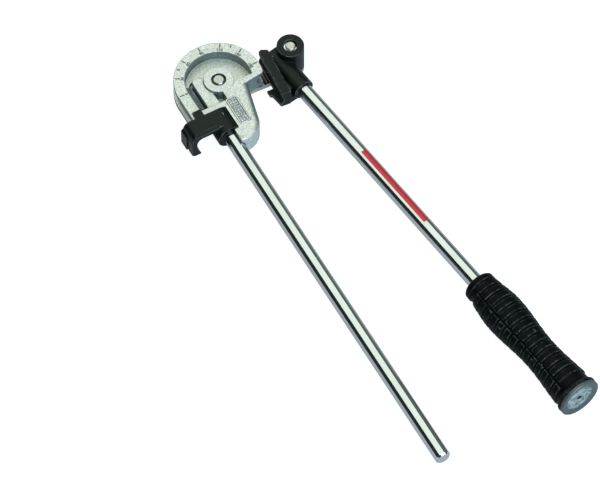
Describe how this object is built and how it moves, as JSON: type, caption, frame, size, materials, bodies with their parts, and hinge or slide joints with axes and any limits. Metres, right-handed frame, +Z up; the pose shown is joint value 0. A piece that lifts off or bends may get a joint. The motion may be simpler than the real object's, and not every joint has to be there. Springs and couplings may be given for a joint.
{
  "type": "tube bender",
  "caption": "Hand tube bender: a grooved cast former on a fixed rod handle, a hook that holds the tube, and a pivoting lever that draws a slide shoe round the rim.",
  "frame": {"origin": "pivot axis of the former, on the flat underside of the pivot pin's head, which is the bench plane", "axes": "+X along the fixed handle towards its free end, +Y towards the lever, +Z up along the pivot towards the scale"},
  "size_m": [0.4753, 0.1867, 0.0397],
  "materials": {
    "cast_aluminium": "bead-blasted die casting",
    "plated_steel": "bright plated rod",
    "pin_steel": "turned steel",
    "bush_bronze": "sintered bronze",
    "black_moulding": "glass-filled nylon, satin",
    "grip_rubber": "moulded rubber",
    "cap_grey": "grey moulded cap"
  },
  "bodies": {
    "former": {"bending_former": "cast_aluminium", "fixed_handle": "plated_steel", "handle_lock_pin": "pin_steel", "socket_pin": "pin_steel", "pivot_bush": "bush_bronze"},
    "link": {"link_plate": "plated_steel", "pivot_pin": "pin_steel", "pivot_washer": "pin_steel", "pivot_ring": "pin_steel", "head_pin": "pin_steel", "eye_washer": "pin_steel", "head_ring": "pin_steel"},
    "lever": {"lever_head": "black_moulding", "head_bush": "bush_bronze", "slide_shoe": "black_moulding", "shoe_screws": "pin_steel", "lever_rod": "plated_steel", "grip": "grip_rubber", "grip_end_cap": "cap_grey"},
    "hook": {"tube_hook": "black_moulding"}
  },
  "joints": [
    {"name": "lever_swing", "type": "hinge", "parent": "former", "child": "link", "pos_m": [0, 0, 0.02], "axis": [0, 0, 1], "range_deg": [-8, 180]},
    {"name": "lever_lift", "type": "hinge", "parent": "link", "child": "lever", "pos_m": [0.003, 0.07026, 0.02], "axis": [0, 0, 1], "range_deg": [0, 110]},
    {"name": "hook_swing", "type": "hinge", "parent": "former", "child": "hook", "pos_m": [0.039, -0.0165, 0.02], "axis": [-1, 0, 0], "range_deg": [0, 45]}
  ]
}
